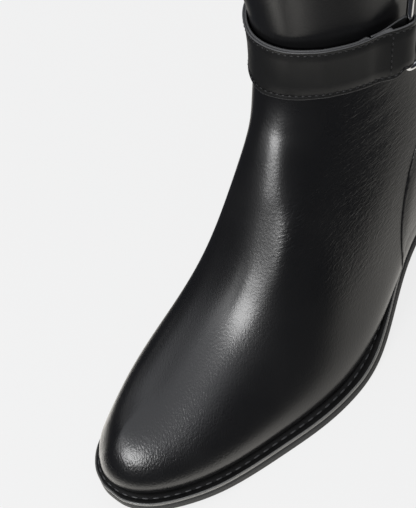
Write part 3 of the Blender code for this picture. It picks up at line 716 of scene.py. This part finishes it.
def makeUpper():
    bm = cadCopy("upper")
    markUpper(bm)
    bm = subdivided(bm, upperLook["levels"], upperLook["rimAngle"], upperLook["rimCrease"])
    bm.normal_update()
    swellUpper(bm)
    bm.normal_update()
    foldUpper(bm)
    bm.normal_update()
    tree = BVHTree.FromBMesh(bm)
    finishes = [upperLeather, liningLeather, edgePaintAndHighlight]
    makePiece("upper_leather_wall", bm, finishes, ["upper"])
    return tree


upperTree = makeUpper()


def onUpper(points):
    # the nearest places on the upper, and the way out there
    spots, ups = [], []
    for point in points:
        spot, normal = upperTree.find_nearest(Vector(point))[:2]
        spots.append(spot)
        ups.append(normal)
    return np.array(spots), np.array(ups)


# Rolled seam on the inner side, from the foot of the zip to the sole
seamLook = {
    "start": (-36, -45.5, 68),
    "end": (-38, -103, 4),
    "spacing": 1.2,
    "half": 0.85,
    "high": 0.7,
    "sunk": 0.2,
    "sides": 9,
}


def makeInnerSeam():
    look = seamLook
    start, end = np.array(look["start"]) * mm, np.array(look["end"]) * mm
    count = int(np.linalg.norm(end - start) / (look["spacing"] * mm))
    line, ups = onUpper([start + (end - start) * n / count for n in range(count + 1)])
    side = unit(np.cross(ups, np.gradient(line, axis=0)))
    ring = []
    for turn in np.linspace(0, math.pi, look["sides"]):
        rise = look["high"] * math.sin(turn) - look["sunk"]
        ring.append(line + (side * look["half"] * math.cos(turn) + ups * rise) * mm)
    points = np.stack(ring + ring[:1], axis=1)
    makePiece("inner_seam", closeUp(gridSheet(points)), [upperLeather])


makeInnerSeam()


# Heel counter: an overlay with a turned edge
counterLook = {
    "levels": 2,
    "angle": 50,
    "crease": 0.6,
    "skive": 3.0 * mm,
    "edgeTop": 0.42 * mm,
    "edgeFoot": -0.25 * mm,
    "edgeFacing": 0.5,
    "topFacing": 0.3,
}


def makeCounter():
    look = counterLook
    bm = subdivided(cadCopy("heel_counter"), look["levels"], look["angle"], look["crease"])
    bm.normal_update()
    tops, edge = [], []
    for vert in bm.verts:
        spot, normal = upperTree.find_nearest(vert.co)[:2]
        height = (vert.co - spot).dot(normal)
        facing = vert.normal.dot(normal)
        tops.append((vert, normal, height, facing))
        if abs(facing) < look["edgeFacing"]:
            edge.append(vert.co)
    finder = nearestTo(edge)
    for vert, normal, height, facing in tops:
        near = math.exp(-((finder.find(vert.co)[2] / look["skive"]) ** 2))
        level = 0.0
        if facing > look["topFacing"]:
            level = look["edgeTop"]
        elif facing < -look["topFacing"]:
            level = look["edgeFoot"]
        vert.co += normal * (level - height) * near
    makePiece("heel_counter_leather", bm, [upperLeather], ["heel_counter"])


makeCounter()


# Welt: a strip with a stitched channel and a bead on its rim
weltLook = {
    "spacing": 0.9 * mm,
    "wall": 2.2 * mm,
    "bead": 0.58 * mm,
    "fullReach": 6.0 * mm,
    "stitchShare": 0.47,
    "channel": 0.75 * mm,
    "channelDepth": 0.45 * mm,
    "channelShape": ((-1.0, 0.2), (-0.6, 0.75), (0, 1.0), (0.6, 0.75), (1.0, 0.2)),
    "channelDrop": 0.1 * mm,
    "leastScale": 0.5,
    # inset from the rim and height above the foot
    "footShape": ((0.9 * mm, 0.0), (0.35 * mm, 0.12 * mm), (0.45 * mm, 0.55 * mm)),
    "beadTurn": (-55, 140, 12),
    "valley": (2.05, 0.5),
    "shelf": (0.3 * mm, 0.28 * mm),
    "wallFoot": (0.96, 0.12 * mm),
    "threadRise": 0.12 * mm,
    "stitch": {
        "pitch": 5.2 * mm,
        "long": 3.7 * mm,
        "wide": 1.0 * mm,
        "lift": 0.10 * mm,
        "holeLift": -0.05 * mm,
    },
}


def makeWelt():
    look = weltLook
    loops = weltLines
    rim = (loops["rim"][0] + loops["rim"][1]) / 2
    where = evenPlaces(rim, look["spacing"], True)
    rimAt = curveAt(rim, where, True)
    insideAt = curveAt(loops["inside"][1], where, True)
    base = curveAt(loops["beside"][0], where, True)[:, 2]
    top = curveAt(loops["beside"][1], where, True)[:, 2]
    insideBase = curveAt(loops["inside"][0], where, True)[:, 2]
    inward = insideAt - rimAt
    inward[:, 2] = 0
    span = np.linalg.norm(inward, axis=1)
    inward = inward / span[:, None]
    reach = span - look["wall"]
    scale = np.clip(reach / look["fullReach"], look["leastScale"], 1.0)
    bead = look["bead"] * scale
    stitch = reach * look["stitchShare"]
    half, deep = look["channel"] * scale, look["channelDepth"]
    profile = [(span, insideBase)]
    for inset, rise in look["footShape"]:
        profile.append((inset + 0 * span, base + rise))
    beadStart = len(profile) - 1
    for angle in np.linspace(*look["beadTurn"]):
        turn = math.radians(angle)
        profile.append((bead * (1 - math.cos(turn)), top - bead * (1 - math.sin(turn))))
    beadEnd = len(profile)
    inset, drop = look["valley"]
    valley = bead * inset
    profile.append((valley, top - drop * bead))
    inset, drop = look["shelf"]
    profile.append((valley + inset * scale, top - drop))
    for offset, depth in look["channelShape"]:
        profile.append((stitch + offset * half, top - look["channelDrop"] - depth * deep))
    share, drop = look["wallFoot"]
    profile.append((reach * share, top - drop))
    profile.append((span, insideAt[:, 2]))
    profile.append(profile[0])
    # the bead's faces take the lighter bead finish: a painted highlight along the welt's rim
    parts = [1 if beadStart <= n < beadEnd else 0 for n in range(len(profile) - 1)]

    def lineAt(inset, height):
        return np.concatenate([(rimAt + inward * inset[:, None])[:, :2], height[:, None]], axis=1)

    points = np.stack([lineAt(*place) for place in profile], axis=1)
    points[-1] = points[0]
    makePiece("welt_strip", closeUp(gridSheet(points, parts)), [weltLeather, weltBeadPaintedHighlight], ["welt"])
    line = lineAt(stitch, top - deep + look["threadRise"])
    bm = bmesh.new()
    addStitches(bm, line, np.tile((0, 0, 1.0), (len(line), 1)), look["stitch"])
    makePiece("welt_stitches", bm, [weltThread, needleHolePaintedShade])
    return rimAt, inward


soleRim, soleInward = makeWelt()


# Tread: a shallow hollow under the forefoot, with ribs across it that stand level with the sole
treadLook = {
    "front": -205 * mm,
    "back": -112 * mm,
    "margin": 11 * mm,
    "pitch": 2.3 * mm,
    "rib": 1.25 * mm,
    "deep": 0.7 * mm,
    "bevel": 0.15 * mm,
    "near": 1.0 * mm,
    "facing": -0.8,
    "tall": 1.4,
    "sunk": 0.7,
    "below": 0.05,
    "sharp": 30,
}


def makeTread(bm):
    look = treadLook
    rows = []
    for along in np.arange(look["front"], look["back"], look["pitch"]):
        across = soleRim[np.abs(soleRim[:, 1] - along) < look["near"], 0]
        rows.append((along, across.min() + look["margin"], across.max() - look["margin"]))
    rows = np.array(rows)
    bm.normal_update()
    tree = BVHTree.FromBMesh(bm)
    for vert in bm.verts:
        low, high = (np.interp(vert.co.y, rows[:, 0], rows[:, side]) for side in (1, 2))
        inside = low < vert.co.x < high and rows[0, 0] < vert.co.y < rows[-1, 0]
        if inside and vert.normal.z < look["facing"]:
            vert.co.z += look["deep"]
    rib = blockMesh((1.0, look["rib"], look["deep"] * look["tall"]), look["bevel"])
    ribs = bmesh.new()
    for along, low, high in rows[1:-1]:
        ends = [Vector((x, along, -look["below"])) for x in (low, high)]
        hits = [tree.ray_cast(end, Vector((0, 0, 1))) for end in ends]
        across = hits[1][0] - hits[0][0]
        up = -(hits[0][1] + hits[1][1]).normalized()
        way = up.cross(across).normalized()
        middle = (hits[0][0] + hits[1][0]) / 2 + up * look["deep"] * look["sunk"]
        place = Matrix.Translation(middle) @ Matrix([across, way, up]).transposed().to_4x4()
        addBlock(ribs, rib, place)
    makePiece("forefoot_ribs", ribs, [soleRubber], sharp=look["sharp"])
    bpy.data.meshes.remove(rib)


# Outsole, insole and heel
soleLook = {"levels": 2, "angle": 22, "crease": 0.7}


def makeSole():
    for node, name, finish, slot in (
        ("outsole", "outsole_rubber", soleRubber, "outsole"),
        ("insole", "insole_sock", sockLeather, "insole"),
        ("heel_block", "heel_block_finish", heelFinish, "heel_block"),
        ("heel_top_piece", "heel_top_rubber", soleRubber, "heel_top_piece"),
    ):
        bm = subdivided(cadCopy(node), soleLook["levels"], soleLook["angle"], soleLook["crease"])
        if node == "outsole":
            makeTread(bm)
        makePiece(name, bm, [finish], [node])


makeSole()


# Straps: two layers sewn along both edges, folded round the buckle's bars
strapLook = {
    "spacing": 1.0 * mm,
    "axis": (-2 * mm, -25 * mm),
    "round": 0.32 * mm,
    "roundShare": 0.3,
    "notch": 0.32 * mm,
    # the notch grows with the thickness, from the first value over the second
    "layered": (1.3 * mm, 0.6 * mm),
    # inward share of the notch and share of the thickness
    "highNotch": ((0, 0.42), (1, 0.48)),
    "peelNotch": ((1, 0.52), (0, 0.58)),
    "lowNotch": ((0, 0.60), (1, 0.5), (0, 0.40)),
    "faceShares": (0.25, 0.5, 0.75),
    "inset": 2.0 * mm,
    "channel": 0.5 * mm,
    "channelDepth": 0.16 * mm,
    "channelShape": ((-1, 0), (-0.5, 0.8), (0, 1), (0.5, 0.8), (1, 0)),
    "crossBack": 16.0 * mm,
    "peel": (10.0 * mm, 1.8 * mm, 1.5),
    "sewnBack": (2.0 * mm, 13.0 * mm),
    "rowEnd": 6,
    "rowInset": 1.4,
    "rowPoints": 40,
    "threadDepth": 0.6,
    "stitch": {"pitch": 3.0 * mm, "long": 1.75 * mm, "wide": 0.72 * mm, "lift": 0.06 * mm, "holeLift": 0.0},
}


def strapLines(node):
    # lines from the sewn end: outer low, middle, high, then inner high, middle, low
    bm = cadCopy(node)
    corners = [v for v in bm.verts if len(v.link_edges) == 3]
    starts = sorted(corners, key=lambda v: v.co.x)[:4]
    middle = Vector((*strapLook["axis"], 0))
    starts.sort(key=lambda v: v.co.z)
    low = sorted(starts[:2], key=lambda v: ((v.co - middle).xy).length)
    high = sorted(starts[2:], key=lambda v: ((v.co - middle).xy).length)
    lines = {"innerLow": low[0], "outerLow": low[1], "innerHigh": high[0], "outerHigh": high[1]}
    lines = {key: longestLine(vert) for key, vert in lines.items()}

    def between(first, second):
        found = []
        for a, b in zip(lines[first], lines[second]):
            beside = {e.other_vert(a) for e in a.link_edges} & {e.other_vert(b) for e in b.link_edges}
            found.append(beside.pop())
        return found

    ordered = [
        lines["outerLow"],
        between("outerLow", "outerHigh"),
        lines["outerHigh"],
        lines["innerHigh"],
        between("innerLow", "innerHigh"),
        lines["innerLow"],
    ]
    result = [np.array([v.co for v in line]) for line in ordered]
    bm.free()
    return result


class StrapShape:
    # places on a strap by station, distance from its low edge and share of its thickness
    def __init__(self, node):
        lines = strapLines(node)
        where = evenPlaces(lines[1], strapLook["spacing"])
        self.lines = [curveAt(line, where) for line in lines]
        low, high = self.lines[0], self.lines[2]
        self.wide = np.linalg.norm(high - low, axis=1)
        self.thick = np.linalg.norm(self.lines[1] - self.lines[4], axis=1)
        self.run = runAlong(self.lines[1])
        x, y = strapLook["axis"]
        turn = np.unwrap(np.arctan2(self.lines[1][:, 1] - y, self.lines[1][:, 0] - x))
        self.turn = int(np.argmax(np.abs(turn - turn[0])))

    def at(self, across, depth):
        share = (across / self.wide)[:, None]
        faces = []
        for low, middle, high in ((0, 1, 2), (5, 4, 3)):
            low, middle, high = self.lines[low], self.lines[middle], self.lines[high]
            ends = low * (2 * share - 1) * (share - 1) + high * share * (2 * share - 1)
            faces.append(ends + middle * 4 * share * (1 - share))
        depth = (depth / self.thick)[:, None]
        return faces[0] * (1 - depth) + faces[1] * depth

    def out(self):
        return unit(self.lines[1] - self.lines[4])


def strapRing(shape):
    # (across, depth, part) round the section: 0 on the faces and 1 on the cut edges
    look = strapLook
    cross = shape.run[shape.turn] - look["crossBack"]
    long, rise, power = look["peel"]
    # the inner layer peels up above the edge, up to its end at the cross row
    peel = rise * np.clip((shape.run - cross + long) / long, 0, 1) ** power * (shape.run < cross)
    wide, thick = shape.wide, shape.thick
    zero = 0 * wide
    least, growth = look["layered"]
    notch = look["notch"] * np.clip((thick - least) / growth, 0, 1)
    r = np.minimum(look["round"], thick * look["roundShare"])
    inset, half, deep = look["inset"], look["channel"], look["channelDepth"]
    ring = []
    for offset, depth in look["channelShape"]:
        ring.append((zero + inset + offset * half, zero + depth * deep, 0))
    ring += [(wide * share, zero, 0) for share in look["faceShares"]]
    for offset, depth in look["channelShape"]:
        ring.append((wide - inset + offset * half, zero + depth * deep, 0))
    edge = [(r, 0), (r * look["roundShare"], r * look["roundShare"]), (0, r)]
    for inward, depth in edge:
        ring.append((wide - inward, zero + depth, 1))
    for inward, share in look["highNotch"]:
        ring.append((wide - inward * notch, thick * share, 1))
    for inward, share in look["peelNotch"]:
        ring.append((wide - inward * notch + peel, thick * share, 1))
    for inward, depth in edge[::-1]:
        ring.append((wide - inward + peel, thick - depth, 1))
    ring += [(wide * share, thick, 0) for share in look["faceShares"][::-1]]
    for inward, depth in edge:
        ring.append((zero + inward, thick - depth, 1))
    for inward, share in look["lowNotch"]:
        ring.append((zero + inward * notch, thick * share, 1))
    for inward, depth in edge[::-1]:
        ring.append((zero + inward, zero + depth, 1))
    return ring + ring[:1]


def makeStrap(node, name):
    look = strapLook
    shape = StrapShape(node)
    ring = strapRing(shape)
    points = np.stack([shape.at(across, depth) for across, depth, part in ring], axis=1)
    parts = [part for across, depth, part in ring]
    bm = gridSheet(points, [min(pair) for pair in zip(parts, parts[1:])])
    closeUp(bm)
    # the cut edges take the grey edge finish, partly edge paint and partly a painted highlight
    makePiece(name, bm, [strapLeather, edgePaintAndHighlight], [node])
    bm = bmesh.new()
    out = shape.out()
    sewn = np.searchsorted(shape.run, look["sewnBack"][0])
    for inset in (look["inset"] + 0 * shape.wide, shape.wide - look["inset"]):
        line = shape.at(inset, 0 * shape.wide + look["channelDepth"] * look["threadDepth"])
        row = slice(sewn, shape.turn - look["rowEnd"])
        addStitches(bm, line[row], out[row], look["stitch"])
    margin = look["inset"] * look["rowInset"]
    for run in (shape.run[shape.turn] - look["crossBack"], *look["sewnBack"]):
        k = int(np.searchsorted(shape.run, run))
        across = np.linspace(margin, shape.wide[k] - margin, look["rowPoints"])
        line = np.array([shape.at(a + 0 * shape.wide, 0 * shape.wide)[k] for a in across])
        addStitches(bm, line, np.tile(out[k], (len(line), 1)), look["stitch"])
    makePiece(name + "_stitches", bm, [thread, needleHolePaintedShade])


makeStrap("strap_front", "strap_front_leather")
makeStrap("strap_back", "strap_back_leather")


# Buckle loop
def makeBuckle():
    bm = subdivided(cadCopy("buckle_frame"), 2)
    makePiece("buckle_loop", bm, [chrome], ["buckle_frame"])


makeBuckle()


# Zip: woven tapes, meshed teeth, a bottom stop and two stitch rows on each side
zipLook = {
    "pitch": 1.35 * mm,
    "tooth": (3.0 * mm, 0.72 * mm, 1.1 * mm),
    "stagger": 0.45 * mm,
    "closedTo": 0.93,
    "bevel": 0.16 * mm,
    "stop": (4.2 * mm, 3.0 * mm, 1.6 * mm),
    "rows": (1.7 * mm, 4.4 * mm),
    "slot": 9.5 * mm,
    "tapeAngle": 50,
    "firstTooth": 4,
    "stopAt": 2,
    "rowPart": slice(4, -2),
    "sharp": 30,
    "stitch": fineStitch,
}


def zipLines():
    # front and back edges of the chain's outer face, from the foot up
    bm = cadCopy("zip_chain")
    feet = sorted((v for v in bm.verts if len(v.link_edges) == 3), key=lambda v: v.co.z)[:4]
    outer = sorted(feet, key=lambda v: v.co.x)[:2]
    front, back = sorted(outer, key=lambda v: v.co.y)
    lines = [np.array([v.co for v in longestLine(vert)]) for vert in (front, back)]
    bm.free()
    return lines


def makeZip():
    look = zipLook
    front, back = zipLines()
    middle = (front + back) / 2
    where = evenPlaces(middle, look["pitch"] / 2)
    frontAt, backAt = curveAt(front, where), curveAt(back, where)
    middleAt = (frontAt + backAt) / 2
    across = unit(backAt - frontAt)
    up = unit(np.gradient(middleAt, axis=0))
    out = unit(np.cross(up, across))
    bm = subdivided(cadCopy("zip_chain"), 1, look["tapeAngle"])
    makePiece("zip_tapes", bm, [zipTape], ["zip_chain"])

    def spotAt(n, side=0.0):
        turn = Matrix([Vector(across[n]), Vector(up[n]), Vector(out[n])]).transposed().to_4x4()
        return Matrix.Translation(Vector(middleAt[n] + across[n] * side)) @ turn

    tooth = blockMesh(look["tooth"], look["bevel"])
    bm = bmesh.new()
    for n in range(look["firstTooth"], int(len(where) * look["closedTo"])):
        addBlock(bm, tooth, spotAt(n, look["stagger"] * (1 if n % 2 else -1)))
    makePiece("zip_teeth", bm, [toothMetal], sharp=look["sharp"])
    bpy.data.meshes.remove(tooth)
    stop = blockMesh(look["stop"], look["bevel"] * 2)
    bm = bmesh.new()
    addBlock(bm, stop, spotAt(look["stopAt"]))
    makePiece("zip_bottom_stop", bm, [zipMetal], sharp=look["sharp"])
    bpy.data.meshes.remove(stop)
    bm = bmesh.new()
    half = look["slot"] / 2
    for row in look["rows"]:
        for side in (-1, 1):
            line, ups = onUpper(middleAt + across * side * (half + row))
            addStitches(bm, line[look["rowPart"]], ups[look["rowPart"]], look["stitch"])
    makePiece("zip_stitches", bm, [thread, needleHolePaintedShade])


makeZip()


# Slider and pull tab, with rounded edges
hardwareLook = {"bevel": 0.3 * mm, "segments": 3, "angle": 40}


def makeHardware():
    for node, name, body in (
        ("zip_slider", "zip_slider_body", "boot"),
        ("zip_pull_tab", "zip_pull", "pull_tab"),
    ):
        bm = cadCopy(node)
        sharp = [e for e in bm.edges if e.calc_face_angle(0) > math.radians(hardwareLook["angle"])]
        bevelEdges(bm, sharp, hardwareLook["bevel"], hardwareLook["segments"])
        makePiece(name, bm, [zipMetal], [node], body, hardwareLook["angle"])


makeHardware()


# Collar: one row of stitches below the top line
collarLook = {
    "below": 5.0 * mm,
    "zipRoom": 8.0 * mm,
    "turns": 361,
    "rayFrom": 0.2,
    "stitch": fineStitch,
}


def makeCollarRow():
    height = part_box("upper")[1].z - collarLook["below"]
    middle = Vector((0, (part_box("zip_slider")[0].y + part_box("zip_slider")[1].y) / 2, height))
    points = []
    for angle in np.linspace(-math.pi, math.pi, collarLook["turns"]):
        way = Vector((math.cos(angle), math.sin(angle), 0))
        spot = upperTree.ray_cast(middle + way * collarLook["rayFrom"], -way)[0]
        if spot.x > 0 or abs(spot.y - middle.y) > collarLook["zipRoom"]:
            if (spot - middle).dot(way) > 0:
                points.append(spot)
    line, ups = onUpper(points)
    bm = bmesh.new()
    addStitches(bm, line, ups, collarLook["stitch"])
    makePiece("collar_stitches", bm, [thread, needleHolePaintedShade])


makeCollarRow()


# Stage: pale floor, a bounce card for reflections, soft lights and the camera
stageLook = {
    "floorSize": 8.0,
    "floorDrop": 0.1 * mm,
    "floor": (0.06, 0.06, 0.06),
    "floorGlow": (0.815, 0.815, 0.815),
    "card": (1.75, 1.70, 1.60),
    "cardAlong": (-0.235, -0.20, -0.14, -0.10, -0.07, -0.03, 0.0),
    "cardMargin": (0.065, 0.070, 0.085, 0.115, 0.17, 0.28, 0.30),
    "cardGlow": (1.6, 1.1, 0.57, 0.54, 0.55, 0.52, 0.50),
    "cardSmooth": 40,
    "cardDrop": 0.05 * mm,
    "cardUnder": 0.004,
    "cardReach": (0.0, 0.2, 0.45, 0.6, 0.8, 1.0),
    "cardFall": (1.0, 1.0, 0.85, 0.5, 0.18, 0.03),
    "backdrop": (0.87, 0.87, 0.87),
    "dim": (0.028, 0.030, 0.036),
    "dome": (1.16, 1.18, 1.24),
    "domeRise": (0.45, 0.77),
    "aim": (0.0, -0.13, 0.06),
    # azimuth, elevation, distance, width, height and power of each light
    "lights": [
        (17, 36, 1.1, 0.44, 0.28, 7.0),
        (-13, 38, 1.2, 0.60, 0.46, 1.7),
        (-80, 22, 1.2, 0.30, 0.28, 0.17),
    ],
}
cameraLook = {
    "azimuth": 65.10983,
    "elevation": 49.63448,
    "roll": -25.25509,
    "aim": (-0.0287305, -0.1261075, 0.0579192),
    "distance": 0.9027906,
    "focalPixels": 1879.7224,
    "frameWidth": 416,
    "sensor": 36.0,
    "clip": (0.05, 50),
}


def towards(azimuth, elevation):
    a, e = math.radians(azimuth), math.radians(elevation)
    return Vector((math.sin(a) * math.cos(e), -math.cos(a) * math.cos(e), math.sin(e)))


def stagePlane(name, bm, colour, glow, fading=None):
    mesh = toMesh(bm, name)
    plane = addObject(name, mesh)
    finish = Finish(name, {"Roughness": 0.9, "Specular IOR Level": 0.0, "Emission Strength": 1.0})
    finish.feed({"Base Color": (*colour, 1), "Emission Color": (*glow, 1)})
    if fading:
        share = finish.add("ShaderNodeAttribute", {"attribute_name": fading}, None, "Fac")
        finish.feed({"Emission Color": finish.tint(share, (0, 0, 0), glow)})
    mesh.materials.append(finish.material)
    return plane


def makeFloor():
    look = stageLook
    bm = bmesh.new()
    bmesh.ops.create_grid(bm, x_segments=1, y_segments=1, size=look["floorSize"] / 2)
    bmesh.ops.translate(bm, vec=(0, 0, -look["floorDrop"]), verts=bm.verts)
    floor = stagePlane("floor", bm, look["floor"], look["floorGlow"])
    floor.visible_glossy = False


def makeCard():
    # the card lies round the sole, brightest at the toe, and only reflections see it
    look = stageLook
    margin = np.interp(soleRim[:, 1], look["cardAlong"], look["cardMargin"])[:, None, None]
    reach = np.array(look["cardReach"])[None, :, None]
    smooth = look["cardSmooth"]
    way = np.roll(soleRim, -smooth, axis=0) - np.roll(soleRim, smooth, axis=0)
    out = unit(np.cross(way, (0, 0, 1)))
    out *= -np.sign((out * soleInward).sum(axis=1, keepdims=True))
    points = soleRim[:, None] + out[:, None] * (reach * margin - look["cardUnder"] * (1 - reach))
    points[:, :, 2] = -look["cardDrop"]
    glow = np.interp(soleRim[:, 1], look["cardAlong"], look["cardGlow"])
    sheet = gridSheet(points, None, glow[:, None] * np.array(look["cardFall"]))
    card = stagePlane("bounce_card", sheet, (0, 0, 0), look["card"], "share")
    card.visible_camera = False
    card.visible_diffuse = False
    card.visible_shadow = False


def makeLights():
    aim = Vector(stageLook["aim"])
    for n, (azimuth, elevation, distance, width, height, power) in enumerate(stageLook["lights"]):
        light = bpy.data.lights.new(f"soft_box_{n}", "AREA")
        light.shape = "RECTANGLE"
        light.size, light.size_y = width, height
        light.energy = power
        lamp = addObject(f"soft_box_{n}", light)
        back = towards(azimuth, elevation)
        lamp.location = aim + back * distance
        lamp.rotation_euler = back.to_track_quat("Z", "Y").to_euler()


def makeWorld():
    # the backdrop is pale to the eye, and in reflections the room is dim below and bright overhead
    world = bpy.data.worlds.new("studio")
    bpy.context.scene.world = world
    world.use_nodes = True
    maker = NodeMaker(world.node_tree)
    seen = maker.add("ShaderNodeLightPath", out="Is Camera Ray")
    way = maker.add("ShaderNodeTexCoord", out="Generated")
    height = maker.add("ShaderNodeSeparateXYZ", None, {"Vector": way}, "Z")
    dome = maker.fade(height, *stageLook["domeRise"])
    room = maker.tint(dome, stageLook["dim"], stageLook["dome"])
    shown = maker.mix(seen, room, (*stageLook["backdrop"], 1))
    plug(maker.tree, maker.tree.nodes["Background"].inputs["Color"], shown)


def makeCamera():
    look = cameraLook
    back = towards(look["azimuth"], look["elevation"])
    a, roll = math.radians(look["azimuth"]), math.radians(look["roll"])
    right = Vector((math.cos(a), math.sin(a), 0))
    up = back.cross(right)
    rolledRight = right * math.cos(roll) + up * math.sin(roll)
    rolledUp = up * math.cos(roll) - right * math.sin(roll)
    data = bpy.data.cameras.new("camera")
    data.sensor_fit = "HORIZONTAL"
    data.sensor_width = look["sensor"]
    data.lens = look["focalPixels"] / look["frameWidth"] * look["sensor"]
    data.clip_start, data.clip_end = look["clip"]
    camera = addObject("camera", data)
    turn = Matrix([rolledRight, rolledUp, back]).transposed().to_4x4()
    camera.matrix_world = Matrix.Translation(Vector(look["aim"]) + back * look["distance"]) @ turn
    bpy.context.scene.camera = camera


makeFloor()
makeCard()
makeLights()
makeWorld()
makeCamera()
bpy.context.scene.view_settings.view_transform = "Standard"
print("stage set")
